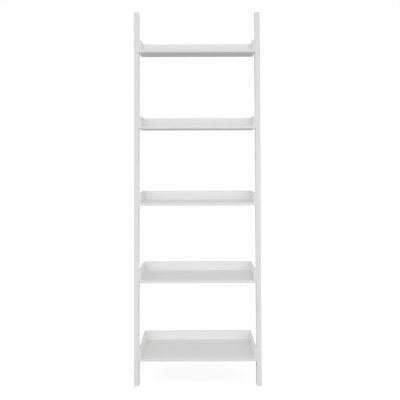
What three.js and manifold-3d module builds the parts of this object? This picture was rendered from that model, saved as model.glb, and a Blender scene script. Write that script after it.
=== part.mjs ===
import * as THREE from "three";
import { mergeVertices } from "three/addons/utils/BufferGeometryUtils.js";
import Module from "manifold-3d";

// A leaning ladder shelf: two posts lean back towards a wall and carry a column of tray shelves.
// Each tray is a board with two side panels and a back rail. The trays grow deeper towards the floor,
// so that their rails stand in one upright plane, the wall, and their fronts lie flush with the posts.
//
// Millimetres. X runs across the shelf, Y towards the wall and Z up. The wall is the plane y = 0, the
// floor is z = 0, and x = 0 is the middle of the shelf.

// Whole shelf
const WIDTH = 620; // over the outer faces of the posts
const HEIGHT = 1815; // floor to the flat tops of the posts
const FOOT_REACH = 340; // wall to the front of the posts at the floor
const LEAN_DEG = 7; // posts, from upright towards the wall

// Posts
const POST_WIDTH = 24;
const POST_DEPTH = 44; // level, from front face to back face

// Trays
const TRAY_COUNT = 5;
const LOWEST_TRAY = 118; // floor to the underside of the lowest tray
const POST_OVERRUN = 135; // posts' tops over the top of the top tray
const TRAY_HEIGHT = 62; // underside of the board to the top of the sides and the rail
const BOARD_THICKNESS = 14;
const PANEL_THICKNESS = 12;
const RAIL_THICKNESS = 12;
const PANEL_NOSE_RADIUS = 9; // upper front corner of a side panel

// Tongues on the board's ends, glued into stopped grooves in the side panels
const TONGUE_THICKNESS = 6;
const TONGUE_LENGTH = 5;
const TONGUE_SETBACK = 14; // behind the board's front edge, so that no groove shows
const GROOVE_SPARE = 0.5; // glue space past the tongue's edges and end

// Dowels between each end of a rail and its side panel
const DOWEL_DIAMETER = 6;
const DOWEL_LENGTH = 30;
const DOWEL_IN_PANEL = 8;
const DOWEL_DROP = 24; // below the top of the rail

// Bolts through each side panel into its post
const BOLT_DIAMETER = 6;
const BOLT_LENGTH = 27; // under the head
const BOLT_HEAD_DIAMETER = 14;
const BOLT_HEAD_HEIGHT = 2.4;
const BOLT_SOCKET = 4; // across the flats of the hexagon
const BOLT_SOCKET_DEPTH = 1.6;
const LOWER_BOLT_RISE = 12; // over the top of the board
const UPPER_BOLT_DROP = 12; // under the top of the side panel
const BOLT_HOLE_SPARE = 1; // past the bolt's tip

// Holes for wall screws through the top tray's rail, under push-in caps
const WALL_HOLE_DIAMETER = 5;
const WALL_HOLE_INSET = 90; // from the outer faces of the posts
const WALL_HOLE_RISE = 13; // over the top of the board
const CAP_DIAMETER = 12;
const CAP_HEIGHT = 3;
const CAP_STEM_DIAMETER = 4;
const CAP_STEM_LENGTH = 3;
const CAP_RECESS = 3.6;

// Pads under the posts
const PAD_THICKNESS = 2;
const PAD_INSET = 3; // from the edges of the post's foot

// Finish and fit
const EASE = 0.8; // radius of the lacquered edges
const EASE_STEPS = 2;
const NOSE_STEPS = 6;
const ROUND_SIDES = 16;
const HEAD_SIDES = 24;
const HEXAGON_SIDES = 6;
const SEAT = 0.2; // left between faces that meet
const BORE_PLAY = 0.25; // round a shank, dowel, head or cap in its hole
const CUT_PAST = 2; // how far a cutter runs past the face that it opens
const WELD = 1e-4; // points closer than this are one point

const lean = THREE.MathUtils.degToRad(LEAN_DEG);
const postInner = WIDTH / 2 - POST_WIDTH;
const panelOuter = postInner - SEAT;
const panelInner = panelOuter - PANEL_THICKNESS;
const boardHalf = panelInner - SEAT;
const boardBack = -(RAIL_THICKNESS + SEAT);
const trayPitch = (HEIGHT - POST_OVERRUN - TRAY_HEIGHT - LOWEST_TRAY) / (TRAY_COUNT - 1);

const white = { color: 0xe9e9e8, roughness: 0.42, metalness: 0 };
const finishes = {
  lacquer: new THREE.MeshStandardMaterial(white),
  steel: new THREE.MeshStandardMaterial({ color: 0xb9bbbd, roughness: 0.35, metalness: 1 }),
  beech: new THREE.MeshStandardMaterial({ color: 0xd3ae80, roughness: 0.7, metalness: 0 }),
  cap: new THREE.MeshStandardMaterial({ ...white, roughness: 0.5 }),
  felt: new THREE.MeshStandardMaterial({ color: 0xbdbbb6, roughness: 0.95, metalness: 0 }),
};

const wasm = await Module();
wasm.setup();

function solidOf(geometry) {
  const bare = geometry.clone();
  bare.deleteAttribute("normal");
  bare.deleteAttribute("uv");
  const merged = mergeVertices(bare, WELD);
  const vertProperties = merged.attributes.position.array;
  const triVerts = new Uint32Array(merged.index.array);
  return new wasm.Manifold(new wasm.Mesh({ numProp: 3, vertProperties, triVerts }));
}

function geometryOf(solid) {
  const { vertProperties, triVerts } = solid.getMesh();
  const geometry = new THREE.BufferGeometry();
  geometry.setAttribute("position", new THREE.BufferAttribute(vertProperties, 3));
  geometry.setIndex(new THREE.BufferAttribute(triVerts, 1));
  geometry.computeVertexNormals();
  return geometry;
}

const joined = (base, adds) => adds.reduce((solid, add) => solid.add(solidOf(add)), base);
const cut = (base, cutters) => cutters.reduce((solid, c) => solid.subtract(solidOf(c)), base);

// Level distance from the wall to the front plane of the leaning posts at a height over the floor.
const reachAt = (height) => FOOT_REACH - height * Math.tan(lean);

// A side view in (y, z) made into a slab centred on x = 0. The ease rounds its edges.
function slab(outline, thickness, ease = 0) {
  const geometry = new THREE.ExtrudeGeometry(outline, {
    depth: thickness - 2 * ease,
    bevelEnabled: ease > 0,
    bevelThickness: ease,
    bevelSize: ease,
    bevelOffset: -ease,
    bevelSegments: EASE_STEPS,
    curveSegments: NOSE_STEPS,
  });
  geometry.translate(0, 0, ease - thickness / 2);
  const [alongX, alongY, alongZ] = [[1, 0, 0], [0, 1, 0], [0, 0, 1]].map((a) => new THREE.Vector3(...a));
  return geometry.applyMatrix4(new THREE.Matrix4().makeBasis(alongY, alongZ, alongX));
}

// A box between two corners.
function block(low, high) {
  const size = high.map((value, axis) => value - low[axis]);
  const middle = high.map((value, axis) => (value + low[axis]) / 2);
  return new THREE.BoxGeometry(...size).translate(...middle);
}

// A round bar along X, or along Y, between two places on that axis.
function barX(from, to, radius, y, z, sides = ROUND_SIDES) {
  const bar = new THREE.CylinderGeometry(radius, radius, Math.abs(to - from), sides);
  return bar.rotateZ(Math.PI / 2).translate((from + to) / 2, y, z);
}

function barY(from, to, radius, x, z, sides = ROUND_SIDES) {
  const bar = new THREE.CylinderGeometry(radius, radius, Math.abs(to - from), sides);
  return bar.translate(x, (from + to) / 2, z);
}

function named(name, solid, material) {
  const mesh = new THREE.Mesh(solid.isBufferGeometry ? solid : geometryOf(solid), material);
  mesh.name = name;
  return mesh;
}

const sides = { left: -1, right: 1 };
const trays = Array.from({ length: TRAY_COUNT }, (_, index) => ({
  number: TRAY_COUNT - index, // 1 is the top tray
  base: LOWEST_TRAY + index * trayPitch,
}));

// A bolt lies in the middle of the post's depth, at a height over the floor.
const boltLine = (height) => -reachAt(height) + POST_DEPTH / 2;
const boltHeights = (tray) => [
  tray.base + BOARD_THICKNESS + LOWER_BOLT_RISE,
  tray.base + TRAY_HEIGHT - UPPER_BOLT_DROP,
];

// Where a bolt's parts start and end along x, on the right-hand side of the shelf.
const headFace = panelInner;
const headSeat = headFace + BOLT_HEAD_HEIGHT;
const boltTip = headSeat + BOLT_LENGTH;

function post(side) {
  const outline = new THREE.Shape();
  const foot = PAD_THICKNESS + SEAT;
  outline.moveTo(-reachAt(foot), foot);
  outline.lineTo(-reachAt(foot) + POST_DEPTH, foot);
  outline.lineTo(-reachAt(HEIGHT) + POST_DEPTH, HEIGHT);
  outline.lineTo(-reachAt(HEIGHT), HEIGHT);
  outline.closePath();

  const middle = sides[side] * (WIDTH - POST_WIDTH) / 2;
  const radius = BOLT_DIAMETER / 2 + BORE_PLAY;
  const mouth = sides[side] * (postInner - CUT_PAST);
  const bottom = sides[side] * (boltTip + BOLT_HOLE_SPARE);
  const holes = trays.flatMap(boltHeights).map((height) =>
    barX(mouth - middle, bottom - middle, radius, boltLine(height), height));

  const mesh = named(`post_${side}`, cut(solidOf(slab(outline, POST_WIDTH, EASE)), holes), finishes.lacquer);
  mesh.position.x = middle;
  return mesh;
}

function footPad(side) {
  const front = -reachAt(PAD_THICKNESS) + PAD_INSET;
  const half = POST_WIDTH / 2 - PAD_INSET;
  const pad = block([-half, front, 0], [half, front + POST_DEPTH - 2 * PAD_INSET, PAD_THICKNESS]);
  const mesh = named(`foot_pad_${side}`, pad, finishes.felt);
  mesh.position.x = sides[side] * (WIDTH - POST_WIDTH) / 2;
  return mesh;
}

// The pieces of a tray are made in the tray's own frame: z = 0 is the underside of its board.
function board(tray) {
  const outline = new THREE.Shape();
  const [low, high] = [0, BOARD_THICKNESS];
  outline.moveTo(boardBack, low);
  outline.lineTo(boardBack, high);
  const nose = (z) => -reachAt(tray.base + z);
  outline.lineTo(nose(high) + EASE, high);
  outline.quadraticCurveTo(nose(high), high, nose(high - EASE), high - EASE);
  outline.lineTo(nose(low + EASE), low + EASE);
  outline.quadraticCurveTo(nose(low), low, nose(low) + EASE, low);
  outline.closePath();

  const half = TONGUE_THICKNESS / 2;
  const tongue = block(
    [-boardHalf - TONGUE_LENGTH, nose(high) + TONGUE_SETBACK, BOARD_THICKNESS / 2 - half],
    [boardHalf + TONGUE_LENGTH, boardBack, BOARD_THICKNESS / 2 + half],
  );
  const solid = joined(solidOf(slab(outline, 2 * boardHalf)), [tongue]);
  return named(`shelf_board_${tray.number}`, solid, finishes.lacquer);
}

function sidePanel(tray, side) {
  const front = (z) => -reachAt(tray.base + z);
  const centreZ = TRAY_HEIGHT - PANEL_NOSE_RADIUS;
  const centreY = front(centreZ) + PANEL_NOSE_RADIUS / Math.cos(lean);
  const outline = new THREE.Shape();
  outline.moveTo(front(0), 0);
  outline.lineTo(0, 0);
  outline.lineTo(0, TRAY_HEIGHT);
  outline.absarc(centreY, centreZ, PANEL_NOSE_RADIUS, Math.PI / 2, Math.PI - lean, false);
  outline.closePath();

  const sign = sides[side];
  const middle = sign * (panelInner + panelOuter) / 2;
  const toPanel = (x) => sign * x - middle;
  const half = TONGUE_THICKNESS / 2 + GROOVE_SPARE;
  const grooveFront = front(BOARD_THICKNESS) + TONGUE_SETBACK - GROOVE_SPARE;
  const grooveEnds = [toPanel(panelInner - CUT_PAST), toPanel(boardHalf + TONGUE_LENGTH + GROOVE_SPARE)];
  const groove = block(
    [Math.min(...grooveEnds), grooveFront, BOARD_THICKNESS / 2 - half],
    [Math.max(...grooveEnds), boardBack + GROOVE_SPARE, BOARD_THICKNESS / 2 + half],
  );
  const dowelHole = barX(
    toPanel(panelInner - CUT_PAST), toPanel(boardHalf + DOWEL_IN_PANEL + SEAT),
    DOWEL_DIAMETER / 2 + BORE_PLAY, -RAIL_THICKNESS / 2, TRAY_HEIGHT - DOWEL_DROP,
  );
  const boltCuts = boltHeights(tray).flatMap((height) => [
    barX(toPanel(panelInner - CUT_PAST), toPanel(panelOuter + CUT_PAST),
      BOLT_DIAMETER / 2 + BORE_PLAY, boltLine(height), height - tray.base),
    barX(toPanel(panelInner - CUT_PAST), toPanel(headSeat + SEAT),
      BOLT_HEAD_DIAMETER / 2 + BORE_PLAY, boltLine(height), height - tray.base, HEAD_SIDES),
  ]);

  const solid = cut(solidOf(slab(outline, PANEL_THICKNESS, EASE)), [groove, dowelHole, ...boltCuts]);
  const mesh = named(`side_panel_${tray.number}_${side}`, solid, finishes.lacquer);
  mesh.position.x = middle;
  return mesh;
}

const wallHoleX = WIDTH / 2 - WALL_HOLE_INSET;
const wallHoleZ = BOARD_THICKNESS + WALL_HOLE_RISE;

function backRail(tray) {
  const top = TRAY_HEIGHT;
  const front = -RAIL_THICKNESS;
  const outline = new THREE.Shape();
  outline.moveTo(0, 0);
  outline.lineTo(0, top - EASE);
  outline.quadraticCurveTo(0, top, -EASE, top);
  outline.lineTo(front + EASE, top);
  outline.quadraticCurveTo(front, top, front, top - EASE);
  outline.lineTo(front, 0);
  outline.closePath();

  const cuts = Object.values(sides).map((sign) =>
    barX(sign * (boardHalf + CUT_PAST), sign * (boardHalf + DOWEL_IN_PANEL - DOWEL_LENGTH - SEAT),
      DOWEL_DIAMETER / 2 + BORE_PLAY, -RAIL_THICKNESS / 2, TRAY_HEIGHT - DOWEL_DROP));
  if (tray.number === 1) {
    for (const sign of Object.values(sides)) {
      cuts.push(barY(front - CUT_PAST, CUT_PAST, WALL_HOLE_DIAMETER / 2, sign * wallHoleX, wallHoleZ));
      cuts.push(barY(front - CUT_PAST, front + CAP_RECESS, CAP_DIAMETER / 2 + BORE_PLAY,
        sign * wallHoleX, wallHoleZ, HEAD_SIDES));
    }
  }
  const solid = cut(solidOf(slab(outline, 2 * boardHalf)), cuts);
  return named(`back_rail_${tray.number}`, solid, finishes.lacquer);
}

function railDowel(tray, side) {
  const sign = sides[side];
  const inner = boardHalf + DOWEL_IN_PANEL - DOWEL_LENGTH;
  const bar = barX(-DOWEL_LENGTH / 2, DOWEL_LENGTH / 2, DOWEL_DIAMETER / 2, 0, 0);
  const mesh = named(`rail_dowel_${tray.number}_${side}`, bar, finishes.beech);
  mesh.position.set(sign * (inner + DOWEL_LENGTH / 2), -RAIL_THICKNESS / 2, TRAY_HEIGHT - DOWEL_DROP);
  return mesh;
}

// A bolt in its own frame: the seat of its head is at the origin and its tip points along +x.
function bolt(name) {
  const head = barX(-BOLT_HEAD_HEIGHT, 0, BOLT_HEAD_DIAMETER / 2, 0, 0, HEAD_SIDES);
  const shank = barX(-BOLT_HEAD_HEIGHT / 2, BOLT_LENGTH, BOLT_DIAMETER / 2, 0, 0);
  const socketRadius = BOLT_SOCKET / 2 / Math.cos(Math.PI / HEXAGON_SIDES);
  const socketEnds = [-BOLT_HEAD_HEIGHT - CUT_PAST, BOLT_SOCKET_DEPTH - BOLT_HEAD_HEIGHT];
  const socket = barX(...socketEnds, socketRadius, 0, 0, HEXAGON_SIDES);
  return named(name, cut(joined(solidOf(head), [shank]), [socket]), finishes.steel);
}

function trayBolts(tray, side) {
  return boltHeights(tray).map((height, index) => {
    const mesh = bolt(`tray_bolt_${tray.number}_${side}_${["lower", "upper"][index]}`);
    mesh.position.set(sides[side] * headSeat, boltLine(height), height - tray.base);
    mesh.rotation.z = side === "left" ? Math.PI : 0;
    return mesh;
  });
}

// A push-in cap: a disc that fills the recess in the rail's front face, with a short stem.
function wallCap(side) {
  const disc = barY(0, CAP_HEIGHT, CAP_DIAMETER / 2, 0, 0, HEAD_SIDES);
  const stem = barY(CAP_HEIGHT / 2, CAP_HEIGHT + CAP_STEM_LENGTH, CAP_STEM_DIAMETER / 2, 0, 0);
  const mesh = named(`wall_screw_cap_${side}`, joined(solidOf(disc), [stem]), finishes.cap);
  mesh.position.set(sides[side] * wallHoleX, -RAIL_THICKNESS + CAP_RECESS - CAP_HEIGHT - SEAT, wallHoleZ);
  return mesh;
}

function trayGroup(tray) {
  const group = new THREE.Group();
  group.position.z = tray.base;
  group.add(board(tray), backRail(tray));
  for (const side of Object.keys(sides)) {
    group.add(sidePanel(tray, side), railDowel(tray, side), ...trayBolts(tray, side));
    if (tray.number === 1) group.add(wallCap(side));
  }
  return group;
}

const shelf = new THREE.Group();
for (const side of Object.keys(sides)) shelf.add(post(side), footPad(side));
for (const tray of trays) shelf.add(trayGroup(tray));

export default shelf;
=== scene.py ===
import math
import bmesh
import bpy
from mathutils import Matrix, Vector, noise


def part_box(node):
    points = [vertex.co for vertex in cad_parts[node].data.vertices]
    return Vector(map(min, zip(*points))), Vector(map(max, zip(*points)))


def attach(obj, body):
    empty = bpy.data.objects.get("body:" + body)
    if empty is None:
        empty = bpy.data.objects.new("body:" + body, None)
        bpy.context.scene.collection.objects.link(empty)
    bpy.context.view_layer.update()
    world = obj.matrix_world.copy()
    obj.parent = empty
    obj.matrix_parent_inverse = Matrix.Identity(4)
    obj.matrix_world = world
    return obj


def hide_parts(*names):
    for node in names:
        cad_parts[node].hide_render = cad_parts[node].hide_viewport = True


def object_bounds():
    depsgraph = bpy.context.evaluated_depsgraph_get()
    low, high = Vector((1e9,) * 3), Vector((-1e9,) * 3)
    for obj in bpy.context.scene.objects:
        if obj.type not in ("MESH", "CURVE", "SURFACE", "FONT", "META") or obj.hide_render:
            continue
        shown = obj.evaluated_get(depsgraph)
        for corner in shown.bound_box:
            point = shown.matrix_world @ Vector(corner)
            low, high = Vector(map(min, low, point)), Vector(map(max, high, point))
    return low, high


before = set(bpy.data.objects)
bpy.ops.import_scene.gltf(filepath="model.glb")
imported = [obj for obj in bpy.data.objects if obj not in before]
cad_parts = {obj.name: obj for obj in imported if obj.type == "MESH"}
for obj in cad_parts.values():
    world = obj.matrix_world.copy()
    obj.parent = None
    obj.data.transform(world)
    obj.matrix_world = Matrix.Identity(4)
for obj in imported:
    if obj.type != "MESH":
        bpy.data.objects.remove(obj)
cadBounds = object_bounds()
print("frame loaded:", len(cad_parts), "CAD nodes")

sides = ("left", "right")
trayCount = 5
trayNumbers = range(1, trayCount + 1)  # 1 is the top tray
body = "root"
rimSteps = 4  # facets round a quarter turn of a turned rim
weldWithin = 1e-6


def middle(node):
    low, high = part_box(node)
    return (low + high) / 2


# of a bolt or a dowel, which lie along x
def radiusOf(node):
    low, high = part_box(node)
    return (high.z - low.z) / 2


def lengthOf(node):
    low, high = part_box(node)
    return high.x - low.x


def newPiece(name, mesh):
    piece = bpy.data.objects.new(name, mesh)
    bpy.context.collection.objects.link(piece)
    return piece


def pieceFrom(name, bm):
    bmesh.ops.recalc_face_normals(bm, faces=bm.faces)
    mesh = bpy.data.meshes.new(name)
    bm.to_mesh(mesh)
    bm.free()
    return newPiece(name, mesh)


def remove(piece):
    mesh = piece.data
    bpy.data.objects.remove(piece)
    bpy.data.meshes.remove(mesh)


# replaces a piece's mesh by what its modifiers make of it
def bake(piece):
    bpy.context.view_layer.update()
    evaluated = piece.evaluated_get(bpy.context.evaluated_depsgraph_get())
    mesh = bpy.data.meshes.new_from_object(evaluated)
    piece.modifiers.clear()
    old = piece.data
    piece.data = mesh
    bpy.data.meshes.remove(old)
    mesh.name = piece.name
    return piece


# a closed shape turned about its own x axis: (place along x, radius) pairs, with a radius of 0 at
# both ends. A radius may be a function of the angle, for hexagons and flutes.
def addTurned(bm, profile, place, around):
    rings = []
    for along, radius in profile:
        if radius == 0:
            rings.append([bm.verts.new(place @ Vector((along, 0, 0)))])
            continue
        ring = []
        for step in range(around):
            angle = 2 * math.pi * step / around
            r = radius(angle) if callable(radius) else radius
            point = Vector((along, r * math.cos(angle), r * math.sin(angle)))
            ring.append(bm.verts.new(place @ point))
        rings.append(ring)
    for before, after in zip(rings, rings[1:]):
        for step in range(around):
            following = (step + 1) % around
            if len(before) == 1:
                bm.faces.new((before[0], after[following], after[step]))
            elif len(after) == 1:
                bm.faces.new((before[step], before[following], after[0]))
            else:
                bm.faces.new((before[step], before[following], after[following], after[step]))


# a rounded rim: it starts on the face at "along" and turns down to the side
def rimPoints(along, radius, rim):
    angles = [math.pi / 2 * step / rimSteps for step in range(rimSteps + 1)]
    return [(along + rim * (1 - math.cos(a)), radius - rim + rim * math.sin(a)) for a in angles]


def addBlock(bm, low, high):
    size = high - low
    place = Matrix.Translation((low + high) / 2) @ Matrix.Diagonal((*size, 1))
    bmesh.ops.create_cube(bm, size=1, matrix=place)


def boolean(piece, tool, operation):
    modifier = piece.modifiers.new("boolean", "BOOLEAN")
    modifier.operation = operation
    modifier.solver = "EXACT"
    modifier.object = tool
    bake(piece)
    remove(tool)


shading = {
    "smoothBelow": math.radians(40),  # edges flatter than this are smooth
    "faceWeight": 100,
}


def finishShading(piece):
    mesh = piece.data
    mesh.shade_smooth()
    mesh.set_sharp_from_angle(angle=shading["smoothBelow"])
    weighted = piece.modifiers.new("flat faces stay flat", "WEIGHTED_NORMAL")
    weighted.mode = "FACE_AREA"
    weighted.weight = shading["faceWeight"]
    weighted.keep_sharp = True
    bake(piece)


def newTree(name, kind, sockets):
    tree = bpy.data.node_groups.new(name, kind)
    for label, direction, socketType, value in sockets:
        socket = tree.interface.new_socket(label, in_out=direction, socket_type=socketType)
        if value is not None:
            socket.default_value = value
    return tree, tree.nodes.new("NodeGroupInput").outputs, tree.nodes.new("NodeGroupOutput").inputs


# adds a node, sets its properties, and fills its inputs from sockets or plain values
def addNode(tree, kind, inputs=None, **properties):
    node = tree.nodes.new(kind)
    for name, value in properties.items():
        setattr(node, name, value)
    for key, value in (inputs or {}).items():
        if isinstance(value, bpy.types.NodeSocket):
            tree.links.new(value, node.inputs[key])
        else:
            node.inputs[key].default_value = value
    return node


def calc(tree, operation, *values):
    return addNode(tree, "ShaderNodeMath", dict(enumerate(values)), operation=operation).outputs[0]


def setInputs(modifier, values):
    for item in modifier.node_group.interface.items_tree:
        if item.item_type == "SOCKET" and item.in_out == "INPUT" and item.name in values:
            modifier[item.identifier] = values[item.name]


def grow(piece, tree, values):
    modifier = piece.modifiers.new(tree.name, "NODES")
    modifier.node_group = tree
    setInputs(modifier, values)
    return bake(piece)


sprayTexture = {"dimpleDetail": 2, "dimpleSoftness": 0.45, "cloudDetail": 3, "cloudSoftness": 0.5}


# fine dimples of a sprayed coat or moulded plastic, with a slow unevenness of its gloss
def sprayedSurfaceGroup():
    tree, given, result = newTree("sprayedSurface", "ShaderNodeTree", [
        ("Dimple Size", "INPUT", "NodeSocketFloat", 0.001),
        ("Dimple Share", "INPUT", "NodeSocketFloat", 1.0),
        ("Cloud Size", "INPUT", "NodeSocketFloat", 0.1),
        ("Roughness", "INPUT", "NodeSocketFloat", 0.5),
        ("Roughness Spread", "INPUT", "NodeSocketFloat", 0.1),
        ("Roughness", "OUTPUT", "NodeSocketFloat", None),
        ("Height", "OUTPUT", "NodeSocketFloat", None),
        ("Cloud", "OUTPUT", "NodeSocketFloat", None),
    ])
    place = addNode(tree, "ShaderNodeTexCoord").outputs["Object"]
    dimples = addNode(tree, "ShaderNodeTexNoise", {
        "Vector": place, "Scale": calc(tree, "DIVIDE", 1.0, given["Dimple Size"]),
        "Detail": sprayTexture["dimpleDetail"],
        "Roughness": sprayTexture["dimpleSoftness"]}).outputs["Fac"]
    cloud = addNode(tree, "ShaderNodeTexNoise", {
        "Vector": place, "Scale": calc(tree, "DIVIDE", 1.0, given["Cloud Size"]),
        "Detail": sprayTexture["cloudDetail"],
        "Roughness": sprayTexture["cloudSoftness"]}).outputs["Fac"]
    centred = calc(tree, "SUBTRACT", cloud, 0.5)
    uneven = calc(tree, "MULTIPLY_ADD", centred, given["Roughness Spread"], given["Roughness"])
    tree.links.new(uneven, result["Roughness"])
    tree.links.new(calc(tree, "MULTIPLY", dimples, given["Dimple Share"]), result["Height"])
    tree.links.new(cloud, result["Cloud"])
    return tree


handledTexture = {"detail": 4, "roughness": 0.7, "smear": 0.4, "thin": 0.58, "thick": 0.75}


# thin dust and handling marks: a mask of soft specks and short strokes
def handledGroup():
    tree, given, result = newTree("handled", "ShaderNodeTree", [
        ("Speck Size", "INPUT", "NodeSocketFloat", 0.003),
        ("Amount", "INPUT", "NodeSocketFloat", 0.3),
        ("Mask", "OUTPUT", "NodeSocketFloat", None),
    ])
    place = addNode(tree, "ShaderNodeTexCoord").outputs["Object"]
    specks = addNode(tree, "ShaderNodeTexNoise", {
        "Vector": place, "Scale": calc(tree, "DIVIDE", 1.0, given["Speck Size"]),
        "Detail": handledTexture["detail"], "Roughness": handledTexture["roughness"],
        "Distortion": handledTexture["smear"]}).outputs["Fac"]
    sparse = addNode(tree, "ShaderNodeMapRange", {
        "Value": specks, "From Min": handledTexture["thin"], "From Max": handledTexture["thick"]},
        interpolation_type="SMOOTHSTEP").outputs["Result"]
    tree.links.new(calc(tree, "MULTIPLY", sparse, given["Amount"]), result["Mask"])
    return tree


sprayedSurface = sprayedSurfaceGroup()
handled = handledGroup()


def newMaterial(name):
    material = bpy.data.materials.new(name)
    material.use_nodes = True
    material.node_tree.nodes.clear()
    return material, material.node_tree


def groupNode(tree, group, values):
    node = tree.nodes.new("ShaderNodeGroup")
    node.node_tree = group
    for name, value in values.items():
        node.inputs[name].default_value = value
    return node


def colourBlend(tree, factor, first, second):
    node = addNode(tree, "ShaderNodeMix", data_type="RGBA")
    tree.links.new(factor, node.inputs["Factor"])
    for key, value in (("A", first), ("B", second)):
        socket = next(s for s in node.inputs if s.name == key and s.type == "RGBA")
        if isinstance(value, bpy.types.NodeSocket):
            tree.links.new(value, socket)
        else:
            socket.default_value = (*value, 1)
    return next(s for s in node.outputs if s.type == "RGBA")


# the shader and its bump: varying sockets come in "sockets", uniform values in "plain"
def finishMaterial(tree, sockets, height, depth, **plain):
    bump = addNode(tree, "ShaderNodeBump", {"Height": height, "Strength": 1.0, "Distance": depth})
    shader = addNode(tree, "ShaderNodeBsdfPrincipled", {
        **sockets, "Normal": bump.outputs["Normal"], **plain})
    output = tree.nodes.new("ShaderNodeOutputMaterial")
    tree.links.new(shader.outputs["BSDF"], output.inputs["Surface"])


lacquerLook = {
    "colour": (0.905, 0.905, 0.902),
    "shade": (0.892, 0.892, 0.889),  # slow variation of the sprayed coat
    "edge": (0.915, 0.915, 0.912),  # where the coat is thinnest, on the eased edges
    "roughness": 0.68,
    "roughnessSpread": 0.10,
    "dimpleSize": 0.0011,
    "dimpleDepth": 0.00003,
    "cloudSize": 0.09,
    "speckSize": 0.004,
    "dust": 0.05,
    "ior": 1.45,
}


def lacquer():
    material, tree = newMaterial("whiteLacquer")
    look = lacquerLook
    coat = groupNode(tree, sprayedSurface, {
        "Dimple Size": look["dimpleSize"], "Cloud Size": look["cloudSize"],
        "Roughness": look["roughness"], "Roughness Spread": look["roughnessSpread"]})
    dust = groupNode(tree, handled, {"Speck Size": look["speckSize"], "Amount": look["dust"]})
    eased = addNode(tree, "ShaderNodeAttribute", attribute_name="eased").outputs["Fac"]
    flat = colourBlend(tree, coat.outputs["Cloud"], look["colour"], look["shade"])
    rim = colourBlend(tree, eased, flat, look["edge"])
    colour = colourBlend(tree, dust.outputs["Mask"], rim, look["shade"])
    roughness = calc(tree, "ADD", coat.outputs["Roughness"], dust.outputs["Mask"])
    finishMaterial(tree, {"Base Color": colour, "Roughness": roughness},
                   coat.outputs["Height"], look["dimpleDepth"], IOR=look["ior"])
    return material


capLook = {
    "colour": (0.88, 0.88, 0.87),
    "shade": (0.86, 0.86, 0.85),
    "roughness": 0.5,
    "roughnessSpread": 0.08,
    "grainSize": 0.0004,
    "grainDepth": 0.00003,
    "cloudSize": 0.01,
    "ior": 1.47,
}


def capPlastic():
    material, tree = newMaterial("capPlastic")
    look = capLook
    grain = groupNode(tree, sprayedSurface, {
        "Dimple Size": look["grainSize"], "Cloud Size": look["cloudSize"],
        "Roughness": look["roughness"], "Roughness Spread": look["roughnessSpread"]})
    colour = colourBlend(tree, grain.outputs["Cloud"], look["colour"], look["shade"])
    finishMaterial(tree, {"Base Color": colour, "Roughness": grain.outputs["Roughness"]},
                   grain.outputs["Height"], look["grainDepth"], IOR=look["ior"])
    return material


steelLook = {
    "colour": (0.60, 0.61, 0.62),
    "stain": (0.48, 0.49, 0.50),
    "roughness": 0.28,
    "roughnessSpread": 0.2,
    "turningPitch": 0.00035,  # rings left by the lathe on the heads
    "turningDepth": 0.000006,
    "spangleSize": 0.0007,  # of the zinc
    "spangleShare": 0.4,  # of the turning depth
    "cloudSize": 0.004,
    "speckSize": 0.0015,
    "specks": 0.5,
}


# reads each bolt's own place, so that the rings run round its own axis
def zincedSteel():
    material, tree = newMaterial("zincedSteel")
    look = steelLook
    own = addNode(tree, "ShaderNodeAttribute", attribute_name="ownPlace").outputs["Vector"]
    parts = addNode(tree, "ShaderNodeSeparateXYZ", {"Vector": own}).outputs
    squares = [calc(tree, "MULTIPLY", parts[axis], parts[axis]) for axis in "YZ"]
    radius = calc(tree, "SQRT", calc(tree, "ADD", *squares))
    rings = calc(tree, "SINE", calc(tree, "MULTIPLY", radius, 2 * math.pi / look["turningPitch"]))
    coat = groupNode(tree, sprayedSurface, {
        "Dimple Size": look["spangleSize"], "Dimple Share": look["spangleShare"],
        "Cloud Size": look["cloudSize"], "Roughness": look["roughness"],
        "Roughness Spread": look["roughnessSpread"]})
    marks = groupNode(tree, handled, {"Speck Size": look["speckSize"], "Amount": look["specks"]})
    colour = colourBlend(tree, marks.outputs["Mask"], look["colour"], look["stain"])
    height = calc(tree, "ADD", rings, coat.outputs["Height"])
    finishMaterial(tree, {"Base Color": colour, "Roughness": coat.outputs["Roughness"]},
                   height, look["turningDepth"], Metallic=1.0)
    return material


beechLook = {
    "pale": (0.66, 0.46, 0.27),
    "dark": (0.50, 0.31, 0.16),
    "fleck": (0.36, 0.21, 0.10),
    "grainWidth": 0.0009,
    "grainDetail": 5,
    "grainBend": 0.6,
    "grainDepth": 0.00008,
    "stretch": 14,  # how much longer a grain line is than it is wide
    "fleckWidth": 0.00056,
    "fleckRim": 0.2,
    "fleckCore": 0.05,
    "roughness": 0.62,
    "roughnessSpread": 0.15,
    "speckSize": 0.002,
    "specks": 0.2,
}


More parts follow.
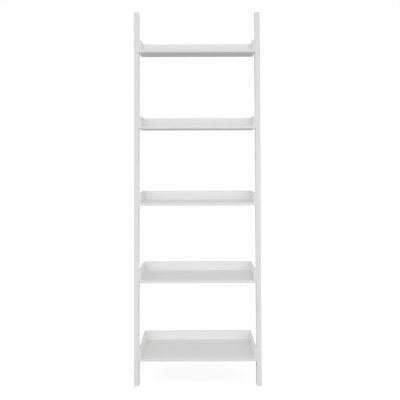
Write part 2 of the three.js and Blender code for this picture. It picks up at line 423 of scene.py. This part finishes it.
def beech():
    material, tree = newMaterial("beech")
    look = beechLook
    place = addNode(tree, "ShaderNodeTexCoord").outputs["Object"]
    along = addNode(tree, "ShaderNodeMapping", {
        "Vector": place, "Scale": (1 / look["stretch"], 1, 1)}).outputs["Vector"]
    lines = addNode(tree, "ShaderNodeTexNoise", {
        "Vector": along, "Scale": 1 / look["grainWidth"], "Detail": look["grainDetail"],
        "Distortion": look["grainBend"]}).outputs["Fac"]
    flecks = addNode(tree, "ShaderNodeTexVoronoi", {
        "Vector": along, "Scale": 1 / look["fleckWidth"]}).outputs["Distance"]
    fleckMask = addNode(tree, "ShaderNodeMapRange", {
        "Value": flecks, "From Min": look["fleckRim"],
        "From Max": look["fleckCore"]}).outputs["Result"]
    marks = groupNode(tree, handled, {"Speck Size": look["speckSize"], "Amount": look["specks"]})
    grain = colourBlend(tree, lines, look["pale"], look["dark"])
    flecked = colourBlend(tree, fleckMask, grain, look["fleck"])
    colour = colourBlend(tree, marks.outputs["Mask"], flecked, look["dark"])
    roughness = calc(tree, "MULTIPLY_ADD", lines, look["roughnessSpread"], look["roughness"])
    finishMaterial(tree, {"Base Color": colour, "Roughness": roughness}, lines, look["grainDepth"])
    return material


feltLook = {
    "pale": (0.56, 0.55, 0.53),
    "dark": (0.40, 0.39, 0.375),
    "fibreWidth": 0.00035,
    "fibreTurns": (0.4, 2.1),  # two tangled directions of fibre
    "fibreDetail": 3,
    "fibreBend": 1.2,
    "fibreDepth": 0.0003,
    "stretch": 6,
    "roughness": 0.9,
    "roughnessSpread": 0.1,
    "sheen": 0.4,
    "sheenRoughness": 0.5,
    "speckSize": 0.002,
    "specks": 0.5,
}


def felt():
    material, tree = newMaterial("felt")
    look = feltLook
    place = addNode(tree, "ShaderNodeTexCoord").outputs["Object"]
    layers = []
    for turn in look["fibreTurns"]:
        lie = addNode(tree, "ShaderNodeMapping", {
            "Vector": place, "Rotation": (0, 0, turn),
            "Scale": (1 / look["stretch"], 1, 1)}).outputs["Vector"]
        layers.append(addNode(tree, "ShaderNodeTexNoise", {
            "Vector": lie, "Scale": 1 / look["fibreWidth"], "Detail": look["fibreDetail"],
            "Distortion": look["fibreBend"]}).outputs["Fac"])
    tangle = calc(tree, "MAXIMUM", *layers)
    marks = groupNode(tree, handled, {"Speck Size": look["speckSize"], "Amount": look["specks"]})
    pressed = colourBlend(tree, tangle, look["dark"], look["pale"])
    colour = colourBlend(tree, marks.outputs["Mask"], pressed, look["dark"])
    hollows = calc(tree, "SUBTRACT", 1.0, tangle)
    roughness = calc(tree, "MULTIPLY_ADD", hollows, look["roughnessSpread"], look["roughness"])
    sheen = {"Sheen Weight": look["sheen"], "Sheen Roughness": look["sheenRoughness"]}
    finishMaterial(tree, {"Base Color": colour, "Roughness": roughness}, tangle,
                   look["fibreDepth"], **sheen)
    return material


materials = {
    "white_lacquer": lacquer(),
    "white_cap": capPlastic(),
    "bolt_steel": zincedSteel(),
    "beech_dowel": beech(),
    "felt_pad": felt(),
}
print("materials made:", ", ".join(material.name for material in materials.values()))


def finishPiece(piece, slotName, *nodes):
    piece.data.materials.clear()
    piece.data.materials.append(materials[slotName])
    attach(piece, body)
    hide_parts(*nodes)


post = {"depth": 0.044}  # measured level, from front to back
postLow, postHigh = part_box("post_left")
leanRise = postHigh.z - postLow.z
leanRun = postHigh.y - post["depth"] - postLow.y
slope = leanRun / leanRise
frontAtFloor = postLow.y - slope * postLow.z


def frontAt(height):
    return frontAtFloor + slope * height


noseCorner = 3  # the upper front one, where the lower front one counts as 0


# Every lacquered piece is sawn across the shelf. In side view it has four corners, and its front
# and back are lines that may lean: front(z) = Front at Floor + Front Lean * z, and so the back.
# The side view is drawn flat, as (y, z), because curves are only filled flat, and then stood up.
def sawnPieceTree():
    number = "NodeSocketFloat"
    tree, given, result = newTree("sawnPiece", "GeometryNodeTree", [
        ("Left", "INPUT", number, 0.0), ("Right", "INPUT", number, 1.0),
        ("Base", "INPUT", number, 0.0), ("Top", "INPUT", number, 1.0),
        ("Front at Floor", "INPUT", number, 0.0), ("Front Lean", "INPUT", number, 0.0),
        ("Back at Floor", "INPUT", number, 1.0), ("Back Lean", "INPUT", number, 0.0),
        ("Nose Radius", "INPUT", number, 0.0), ("Nose Steps", "INPUT", "NodeSocketInt", 1),
        ("Material", "INPUT", "NodeSocketMaterial", None),
        ("Geometry", "OUTPUT", "NodeSocketGeometry", None),
    ])

    def corner(edge, height):
        lean, atFloor = given[edge + " Lean"], given[edge + " at Floor"]
        across = calc(tree, "MULTIPLY_ADD", given[height], lean, atFloor)
        drawn = addNode(tree, "ShaderNodeCombineXYZ", {"X": across, "Y": given[height]})
        return drawn.outputs["Vector"]

    outline = addNode(tree, "GeometryNodeCurvePrimitiveQuadrilateral", {
        "Point 1": corner("Front", "Base"), "Point 2": corner("Back", "Base"),
        "Point 3": corner("Back", "Top"), "Point 4": corner("Front", "Top")}, mode="POINTS")
    index = addNode(tree, "GeometryNodeInputIndex").outputs[0]
    isNose = calc(tree, "COMPARE", index, noseCorner, 0.5)
    rounded = addNode(tree, "GeometryNodeFilletCurve", {
        "Curve": outline.outputs[0], "Count": given["Nose Steps"],
        "Radius": calc(tree, "MULTIPLY", isNose, given["Nose Radius"])}, mode="POLY")
    filled = addNode(tree, "GeometryNodeFillCurve", {
        "Curve": rounded.outputs[0]}, mode="NGONS").outputs[0]
    length = calc(tree, "SUBTRACT", given["Right"], given["Left"])
    upwards = addNode(tree, "ShaderNodeCombineXYZ", {"Z": length}).outputs["Vector"]
    sawn = addNode(tree, "GeometryNodeExtrudeMesh", {
        "Mesh": filled, "Offset": upwards, "Individual": False}, mode="FACES").outputs["Mesh"]
    shut = addNode(tree, "GeometryNodeJoinGeometry")
    tree.links.new(sawn, shut.inputs[0])
    tree.links.new(filled, shut.inputs[0])
    welded = addNode(tree, "GeometryNodeMergeByDistance", {
        "Geometry": shut.outputs[0], "Distance": weldWithin})
    drawn = addNode(tree, "ShaderNodeSeparateXYZ", {
        "Vector": addNode(tree, "GeometryNodeInputPosition").outputs[0]}).outputs
    stood = addNode(tree, "ShaderNodeCombineXYZ", {
        "X": calc(tree, "ADD", given["Left"], drawn["Z"]), "Y": drawn["X"], "Z": drawn["Y"]})
    placed = addNode(tree, "GeometryNodeSetPosition", {
        "Geometry": welded.outputs[0], "Position": stood.outputs["Vector"]})
    real = addNode(tree, "GeometryNodeRealizeInstances", {"Geometry": placed.outputs[0]})
    finished = addNode(tree, "GeometryNodeSetMaterial", {
        "Geometry": real.outputs[0], "Material": given["Material"]})
    tree.links.new(finished.outputs[0], result["Geometry"])
    return tree


sawnPiece = sawnPieceTree()
easing = {"radius": 0.0008, "steps": 3, "profile": 0.5}  # a profile of 0.5 is round


# rounds the sharp edges, or only those that "picks" takes by their middle, and marks the new faces
def easeEdges(piece, picks):
    bm = bmesh.new()
    bm.from_mesh(piece.data)
    bmesh.ops.recalc_face_normals(bm, faces=bm.faces)
    mark = bm.faces.layers.float.new("eased")
    sharp = [e for e in bm.edges if e.calc_face_angle(0) > shading["smoothBelow"]]
    chosen = [e for e in sharp if not picks or picks((e.verts[0].co + e.verts[1].co) / 2)]
    made = bmesh.ops.bevel(
        bm, geom=chosen, offset=easing["radius"], offset_type="OFFSET",
        profile=easing["profile"], segments=easing["steps"], affect="EDGES", clamp_overlap=True)
    for face in made["faces"]:
        face[mark] = 1.0
    bm.to_mesh(piece.data)
    bm.free()


def sawn(name, values, picks=None):
    piece = newPiece(name, bpy.data.meshes.new(name))
    grow(piece, sawnPiece, {**values, "Material": materials["white_lacquer"]})
    easeEdges(piece, picks)
    return piece


# joins the blocks or drills the holes that bm holds, and puts the piece in its node's place
def machine(piece, bm, operation, node):
    boolean(piece, pieceFrom("cutter", bm), operation)
    finishShading(piece)
    finishPiece(piece, "white_lacquer", node)


drilling = {
    "around": 40,
    "play": 0.00025,  # round a shank, dowel or head
    "mouth": 0.0003,  # chamfer round each hole
    "past": 0.002,  # how far a drill runs past the face
    "deeper": 0.001,  # room left past a bolt's tip
}


# adds a drilled hole to a cutter: (depth, radius) steps from the mouth inwards
def addHole(bm, mouth, direction, stepsDown):
    place = Matrix.Translation(mouth) @ direction.to_track_quat("X", "Z").to_matrix().to_4x4()
    past, chamfer = drilling["past"], drilling["mouth"]
    first = stepsDown[0][1]
    profile = [(-past, 0), (-past, first + chamfer), (0, first + chamfer), (chamfer, first)]
    reached = chamfer
    for depth, radius in stepsDown:
        profile += [(reached, radius), (depth, radius)]
        reached = depth
    profile = [point for i, point in enumerate(profile) if i == 0 or point != profile[i - 1]]
    addTurned(bm, profile + [(reached, 0)], place, drilling["around"])


bolt = {
    "headHeight": 0.0024,
    "headRim": 0.0004,
    "shankRadius": 0.003,
    "tip": 0.0008,
    "socketFlats": 0.004,
    "socketDepth": 0.0016,
    "socketLip": 0.0002,  # chamfer round the socket
    "socketCone": 0.0004,  # left by the drill at the bottom
    "socketFloor": 0.8,  # of the flats
    "around": 48,
    "spin": math.pi,  # how far a socket may be turned either way
    "seed": 7,
}


# the middle of a bolt's head on its panel's inner face, and the way the bolt points
def boltSeat(node):
    low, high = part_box(node)
    outward = 1 if low.x > 0 else -1
    face = low.x if outward > 0 else high.x
    seat = Vector((face, (low.y + high.y) / 2, (low.z + high.z) / 2))
    return seat, Vector((outward, 0, 0))


def boltNodes(number, side):
    return [f"tray_bolt_{number}_{side}_{which}" for which in ("lower", "upper")]


def makePost(side):
    node = f"post_{side}"
    low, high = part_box(node)
    backAtFloor = frontAtFloor + post["depth"]
    piece = sawn(f"post_{side}_lacquered", {
        "Left": low.x, "Right": high.x, "Base": low.z, "Top": high.z,
        "Front at Floor": frontAtFloor, "Front Lean": slope,
        "Back at Floor": backAtFloor, "Back Lean": slope})
    bm = bmesh.new()
    inner = low.x if low.x > 0 else high.x
    for number in trayNumbers:
        for boltNode in boltNodes(number, side):
            seat, outward = boltSeat(boltNode)
            depth = lengthOf(boltNode) - abs(inner - seat.x) + drilling["deeper"]
            mouth = Vector((inner, seat.y, seat.z))
            addHole(bm, mouth, outward, [(depth, bolt["shankRadius"] + drilling["play"])])
    machine(piece, bm, "DIFFERENCE", node)


tray = {
    "boardThickness": 0.014,
    "noseRadius": 0.009,  # of the upper front corners of the side panels
    "noseSteps": 10,
    "seat": 0.0002,  # gap left between two faces that meet
    "tongueThickness": 0.006,
    "tongueSetback": 0.014,  # from the front of the tray
    "glueSpace": 0.0005,  # round a tongue in its groove
}


# the block that a board's tongue fills at one end, or with spare its groove
def addTongue(bm, number, side, spare):
    boardLow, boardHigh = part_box(f"shelf_board_{number}")
    panelLow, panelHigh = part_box(f"side_panel_{number}_{side}")
    half = tray["tongueThickness"] / 2 + spare
    centre = boardLow.z + tray["boardThickness"] / 2
    front = frontAt(boardHigh.z) + tray["tongueSetback"] - spare
    if side == "left":
        ends = boardLow.x - spare, panelHigh.x + drilling["past"]
    else:
        ends = panelLow.x - drilling["past"], boardHigh.x + spare
    low = Vector((ends[0], front, centre - half))
    addBlock(bm, low, Vector((ends[1], boardHigh.y + spare, centre + half)))


def makeBoard(number):
    node = f"shelf_board_{number}"
    low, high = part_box(node)
    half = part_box(f"side_panel_{number}_right")[0].x - tray["seat"]

    def isFront(place):
        return place.y < frontAt(place.z) + easing["radius"] and abs(place.x) < half / 2

    piece = sawn(f"{node}_lacquered", {
        "Left": -half, "Right": half, "Base": low.z, "Top": high.z,
        "Front at Floor": frontAtFloor, "Front Lean": slope, "Back at Floor": high.y}, isFront)
    bm = bmesh.new()
    for side in sides:
        addTongue(bm, number, side, 0)
    machine(piece, bm, "UNION", node)


def makeRail(number):
    node = f"back_rail_{number}"
    low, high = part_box(node)

    def isTop(place):
        return place.z > high.z - easing["radius"] and abs(place.x) < high.x / 2

    piece = sawn(f"{node}_lacquered", {
        "Left": low.x, "Right": high.x, "Base": low.z, "Top": high.z,
        "Front at Floor": low.y, "Back at Floor": high.y}, isTop)
    bm = bmesh.new()
    for side in sides:
        dowelNode = f"rail_dowel_{number}_{side}"
        dowelLow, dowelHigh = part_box(dowelNode)
        end, inward = (low.x, 1) if side == "left" else (high.x, -1)
        depth = (dowelHigh.x - low.x if side == "left" else high.x - dowelLow.x) + tray["seat"]
        radius = radiusOf(dowelNode) + drilling["play"]
        centre = middle(dowelNode)
        addHole(bm, Vector((end, centre.y, centre.z)), Vector((inward, 0, 0)), [(depth, radius)])
        if number == 1:  # only the top rail is screwed to the wall
            addWallHole(bm, side, low.y, high.y)
    machine(piece, bm, "DIFFERENCE", node)


wallHole = {
    "recess": 0.0036,  # depth of the cap's seat
    "radius": 0.0025,  # of the screw's own hole
}


def addWallHole(bm, side, front, back):
    low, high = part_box(f"wall_screw_cap_{side}")
    centre = middle(f"wall_screw_cap_{side}")
    wide = (high.x - low.x) / 2 + drilling["play"]
    addHole(bm, Vector((centre.x, front, centre.z)), Vector((0, 1, 0)), [
        (wallHole["recess"], wide), (back - front + drilling["past"], wallHole["radius"])])


def makeSidePanel(number, side):
    node = f"side_panel_{number}_{side}"
    low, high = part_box(node)
    piece = sawn(f"{node}_lacquered", {
        "Left": low.x, "Right": high.x, "Base": low.z, "Top": high.z,
        "Front at Floor": frontAtFloor, "Front Lean": slope, "Back at Floor": high.y,
        "Nose Radius": tray["noseRadius"], "Nose Steps": tray["noseSteps"]})
    bm = bmesh.new()
    thickness = high.x - low.x
    inner = high.x if side == "left" else low.x
    for boltNode in boltNodes(number, side):
        seat, outward = boltSeat(boltNode)
        addHole(bm, Vector((inner, seat.y, seat.z)), outward, [
            (bolt["headHeight"] + tray["seat"], radiusOf(boltNode) + drilling["play"]),
            (thickness + drilling["past"], bolt["shankRadius"] + drilling["play"])])
    dowelNode = f"rail_dowel_{number}_{side}"
    dowelLow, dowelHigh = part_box(dowelNode)
    centre = middle(dowelNode)
    depth = (inner - dowelLow.x if side == "left" else dowelHigh.x - inner) + tray["seat"]
    addHole(bm, Vector((inner, centre.y, centre.z)), outward,
            [(depth, radiusOf(dowelNode) + drilling["play"])])
    addTongue(bm, number, side, tray["glueSpace"])
    machine(piece, bm, "DIFFERENCE", node)


for side in sides:
    makePost(side)
print("posts made")
for number in trayNumbers:
    makeBoard(number)
    makeRail(number)
    for side in sides:
        makeSidePanel(number, side)
    print("tray", number, "made")


# Copies a shape to every vertex of a mesh. The vertex's "turn" gives the copy's rotation, and Spin
# turns each copy by chance about its own x axis. Each copy keeps its own place in "ownPlace".
def seatedCopiesTree():
    tree, given, result = newTree("seatedCopies", "GeometryNodeTree", [
        ("Geometry", "INPUT", "NodeSocketGeometry", None),
        ("Shape", "INPUT", "NodeSocketObject", None),
        ("Spin", "INPUT", "NodeSocketFloat", 0.0),
        ("Seed", "INPUT", "NodeSocketInt", 0),
        ("Material", "INPUT", "NodeSocketMaterial", None),
        ("Geometry", "OUTPUT", "NodeSocketGeometry", None),
    ])
    shape = addNode(tree, "GeometryNodeObjectInfo", {"Object": given["Shape"]}).outputs["Geometry"]
    place = addNode(tree, "GeometryNodeInputPosition").outputs[0]
    marked = addNode(tree, "GeometryNodeStoreNamedAttribute", {
        "Geometry": shape, "Name": "ownPlace", "Value": place},
        data_type="FLOAT_VECTOR", domain="POINT")
    turn = addNode(tree, "GeometryNodeInputNamedAttribute", {
        "Name": "turn"}, data_type="FLOAT_VECTOR").outputs["Attribute"]
    chance = addNode(tree, "FunctionNodeRandomValue", data_type="FLOAT")
    low, high = [s for s in chance.inputs if s.type == "VALUE" and s.name in ("Min", "Max")]
    tree.links.new(calc(tree, "MULTIPLY", given["Spin"], -1.0), low)
    tree.links.new(given["Spin"], high)
    tree.links.new(given["Seed"], chance.inputs["Seed"])
    angle = next(s for s in chance.outputs if s.type == "VALUE" and s.enabled)
    aboutX = addNode(tree, "ShaderNodeCombineXYZ", {"X": angle}).outputs["Vector"]
    spun = addNode(tree, "FunctionNodeEulerToRotation", {"Euler": aboutX}).outputs[0]
    turned = addNode(tree, "FunctionNodeEulerToRotation", {"Euler": turn}).outputs[0]
    both = addNode(tree, "FunctionNodeRotateRotation", {
        "Rotation": turned, "Rotate By": spun}, rotation_space="LOCAL").outputs[0]
    copies = addNode(tree, "GeometryNodeInstanceOnPoints", {
        "Points": given["Geometry"], "Instance": marked.outputs[0], "Rotation": both})
    real = addNode(tree, "GeometryNodeRealizeInstances", {"Geometry": copies.outputs[0]})
    finished = addNode(tree, "GeometryNodeSetMaterial", {
        "Geometry": real.outputs[0], "Material": given["Material"]})
    tree.links.new(finished.outputs[0], result["Geometry"])
    return tree


seatedCopies = seatedCopiesTree()


def copyToSeats(name, shape, seats, slotName, nodes, spin=0.0, seed=0):
    places, turns = zip(*seats)
    mesh = bpy.data.meshes.new(name)
    mesh.from_pydata(places, [], [])
    turned = mesh.attributes.new("turn", "FLOAT_VECTOR", "POINT")
    for item, turn in zip(turned.data, turns):
        item.vector = turn
    piece = newPiece(name, mesh)
    grow(piece, seatedCopies, {
        "Shape": shape, "Spin": spin, "Seed": seed, "Material": materials[slotName]})
    finishShading(piece)
    finishPiece(piece, slotName, *nodes)
    remove(shape)


# gives a radius at each angle, from the width across the flats
def hexagon(flats):
    def radiusAt(angle):
        return flats / 2 / math.cos((angle + math.pi / 6) % (math.pi / 3) - math.pi / 6)
    return radiusAt


# the head's face is at the origin and the tip points along +x
def boltShape(headRadius, length):
    flats, depth, lip = bolt["socketFlats"], bolt["socketDepth"], bolt["socketLip"]
    shank, tip = bolt["shankRadius"], bolt["tip"]
    profile = [
        (depth + bolt["socketCone"], 0), (depth, hexagon(flats * bolt["socketFloor"])),
        (depth - lip, hexagon(flats)), (lip, hexagon(flats)), (0, hexagon(flats + 2 * lip)),
        *rimPoints(0, headRadius, bolt["headRim"]),
        (bolt["headHeight"], headRadius), (bolt["headHeight"], shank),
        (length - tip, shank), (length, shank - tip), (length, 0),
    ]
    bm = bmesh.new()
    addTurned(bm, profile, Matrix.Identity(4), bolt["around"])
    return pieceFrom("boltShape", bm)


def makeBolts():
    nodes = [n for number in trayNumbers for side in sides for n in boltNodes(number, side)]
    seats = []
    for node in nodes:
        seat, outward = boltSeat(node)
        seats.append((seat, (0, 0, 0 if outward.x > 0 else math.pi)))
    shape = boltShape(radiusOf(nodes[-1]), lengthOf(nodes[-1]))
    copyToSeats("tray_bolts_zinced", shape, seats, "bolt_steel", nodes,
                bolt["spin"], bolt["seed"])


cap = {
    "discHeight": 0.003,
    "rim": 0.0008,
    "stemRadius": 0.002,
    "stemTip": 0.0006,
    "crown": 0.0003,  # how far the middle stands over the rim
    "domeAt": 0.5,  # part of the way out, where the dome has fallen
    "domeFall": 0.25,  # by this part of the crown
    "around": 48,
}


# the cap's face is at the origin and its stem points along +x
def capShape(radius, length):
    disc, stem, tip = cap["discHeight"], cap["stemRadius"], cap["stemTip"]
    profile = [
        (0, 0), (cap["crown"] * cap["domeFall"], radius * cap["domeAt"]),
        *rimPoints(cap["crown"], radius, cap["rim"]),
        (disc, radius), (disc, stem), (length - tip, stem), (length, stem - tip), (length, 0),
    ]
    bm = bmesh.new()
    addTurned(bm, profile, Matrix.Identity(4), cap["around"])
    return pieceFrom("capShape", bm)


def makeCaps():
    nodes = [f"wall_screw_cap_{side}" for side in sides]
    seats = []
    for node in nodes:
        low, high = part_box(node)
        seat = Vector(((low.x + high.x) / 2, low.y, (low.z + high.z) / 2))
        seats.append((seat, (0, 0, math.pi / 2)))
    shape = capShape((high.x - low.x) / 2, high.y - low.y)
    copyToSeats("wall_screw_caps_moulded", shape, seats, "white_cap", nodes)


dowel = {
    "flutes": 16,
    "fluteDepth": 0.0003,
    "chamfer": 0.001,
    "around": 96,
    "spin": 0.2,
    "seed": 3,
}


def dowelShape(radius, length):
    def fluted(angle):
        return radius - dowel["fluteDepth"] * (0.5 + 0.5 * math.cos(dowel["flutes"] * angle))

    chamfer = dowel["chamfer"]
    half = length / 2
    profile = [
        (-half, 0), (-half, radius - chamfer), (-half + chamfer, fluted),
        (half - chamfer, fluted), (half, radius - chamfer), (half, 0),
    ]
    bm = bmesh.new()
    addTurned(bm, profile, Matrix.Identity(4), dowel["around"])
    return pieceFrom("dowelShape", bm)


def makeDowels():
    nodes = [f"rail_dowel_{number}_{side}" for number in trayNumbers for side in sides]
    shape = dowelShape(radiusOf(nodes[0]), lengthOf(nodes[0]))
    seats = [(middle(node), (0, 0, 0)) for node in nodes]
    copyToSeats("rail_dowels_fluted", shape, seats, "beech_dowel", nodes,
                dowel["spin"], dowel["seed"])


makeBolts()
makeCaps()
makeDowels()
print("bolts, caps and dowels made")


pad = {
    "cornerRadius": 0.002,
    "cells": (12, 28, 3),
    "fuzz": 0.00025,  # unevenness of the pressed edge
    "fuzzSize": 0.0012,
}


# rounds a point's corner in plan and frays it: offset is measured from the pad's middle
def pressedEdge(offset, size, rough):
    reach = pad["cornerRadius"]
    flat = [size[axis] / 2 - reach for axis in (0, 1)]
    inner = Vector([max(-flat[axis], min(flat[axis], offset[axis])) for axis in (0, 1)])
    outer = Vector(offset[:2]) - inner
    if outer.length > reach:
        outer = outer.normalized() * reach
    fray = abs(rough) * pad["fuzz"] / reach * outer.length / reach
    return inner + outer * (1 - fray)


def makeFeltPad(side):
    node = f"foot_pad_{side}"
    low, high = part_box(node)
    size = high - low
    centre = (low + high) / 2
    bm = bmesh.new()
    addBlock(bm, low, high)
    for axis, cells in enumerate(pad["cells"]):
        runs = {edge: abs((edge.verts[1].co - edge.verts[0].co)[axis]) for edge in bm.edges}
        along = [edge for edge, run in runs.items() if abs(run - size[axis]) < weldWithin]
        bmesh.ops.subdivide_edges(bm, edges=along, cuts=cells, use_grid_fill=True)
    for vertex in bm.verts:
        rough = noise.noise(vertex.co / pad["fuzzSize"])
        edge = pressedEdge(vertex.co - centre, size, rough)
        vertex.co.x, vertex.co.y = centre.x + edge.x, centre.y + edge.y
    piece = pieceFrom(f"{node}_felt", bm)
    finishShading(piece)
    finishPiece(piece, "felt_pad", node)


for side in sides:
    makeFeltPad(side)
print("felt pads made")


floorLook = {
    "size": 60,
    "drop": 0.0002,  # a hair under the pads, so that the two never share a plane
    "colour": (0.34, 0.34, 0.34),
    "glow": 0.82,  # only the camera, gloss and glass see it: it brings the lit floor up to white
}
background = {"seen": 1.0, "ambient": 0.71}
lamps = {
    "lowSoftbox": {"place": (0, -4.5, 0.6), "width": 3.0, "height": 1.0, "watts": 21},
    "frontSoftbox": {"place": (0, -4.5, 1.6), "width": 3.0, "height": 1.6, "watts": 32},
    "leftFill": {"place": (-3.6, -0.7, 1.3), "width": 1.4, "height": 2.2, "watts": 7},
    "rightFill": {"place": (3.6, -0.7, 1.3), "width": 1.4, "height": 2.2, "watts": 7},
    "rearFill": {"place": (0, 4.2, 0.9), "width": 3.0, "height": 1.2, "watts": 10},
}
lampAim = Vector((0, 0, 0.9))
view = {
    "aside": 0.0031,  # to the right
    "distance": 3.179,  # from the wall
    "height": 1.0996,
    "tiltDown": 5.312,  # degrees, as is the roll
    "roll": -0.168,
    "lens": 54.49,
    "shift": (0.0050, 0.0359),
}


# a ray that the background is shown to: the camera's, or one that gloss or glass sends on
def seenByEye(tree):
    path = addNode(tree, "ShaderNodeLightPath").outputs
    either = calc(tree, "MAXIMUM", path["Is Glossy Ray"], path["Is Transmission Ray"])
    return calc(tree, "MAXIMUM", path["Is Camera Ray"], either)


def makeFloor():
    bm = bmesh.new()
    bmesh.ops.create_grid(bm, x_segments=1, y_segments=1, size=floorLook["size"] / 2)
    bmesh.ops.translate(bm, verts=bm.verts, vec=(0, 0, -floorLook["drop"]))
    floor = pieceFrom("floor", bm)
    material, tree = newMaterial("paleFloor")
    lit = addNode(tree, "ShaderNodeBsdfDiffuse", {"Color": (*floorLook["colour"], 1)})
    glow = addNode(tree, "ShaderNodeEmission", {
        "Strength": calc(tree, "MULTIPLY", seenByEye(tree), floorLook["glow"])})
    both = addNode(tree, "ShaderNodeAddShader", {0: lit.outputs[0], 1: glow.outputs[0]})
    output = tree.nodes.new("ShaderNodeOutputMaterial")
    tree.links.new(both.outputs[0], output.inputs["Surface"])
    floor.data.materials.append(material)


def makeWorld():
    world = bpy.data.worlds.new("studio")
    bpy.context.scene.world = world
    world.use_nodes = True
    tree = world.node_tree
    tree.nodes.clear()
    strength = addNode(tree, "ShaderNodeMapRange", {
        "Value": seenByEye(tree), "To Min": background["ambient"], "To Max": background["seen"]})
    sky = addNode(tree, "ShaderNodeBackground", {
        "Color": (1, 1, 1, 1), "Strength": strength.outputs["Result"]})
    output = tree.nodes.new("ShaderNodeOutputWorld")
    tree.links.new(sky.outputs[0], output.inputs["Surface"])


def makeLamps():
    for name, lamp in lamps.items():
        data = bpy.data.lights.new(name, "AREA")
        data.shape = "RECTANGLE"
        data.size, data.size_y = lamp["width"], lamp["height"]
        data.energy = lamp["watts"]
        softbox = bpy.data.objects.new(name, data)
        place = Vector(lamp["place"])
        softbox.location = place
        softbox.rotation_euler = (lampAim - place).to_track_quat("-Z", "Y").to_euler()
        softbox.visible_camera = False
        bpy.context.collection.objects.link(softbox)


def makeCamera():
    data = bpy.data.cameras.new("camera")
    data.lens = view["lens"]
    data.shift_x, data.shift_y = view["shift"]
    camera = bpy.data.objects.new("camera", data)
    wall = cadBounds[1].y
    camera.location = (view["aside"], wall - view["distance"], view["height"])
    look = Matrix.Rotation(math.radians(90 - view["tiltDown"]), 3, "X")
    roll = Matrix.Rotation(math.radians(view["roll"]), 3, "Z")
    camera.rotation_euler = (look @ roll).to_euler()
    bpy.context.collection.objects.link(camera)
    bpy.context.scene.camera = camera


makeFloor()
makeWorld()
makeLamps()
makeCamera()
bpy.context.scene.view_settings.view_transform = "Standard"
print("floor, world, lamps and camera made")
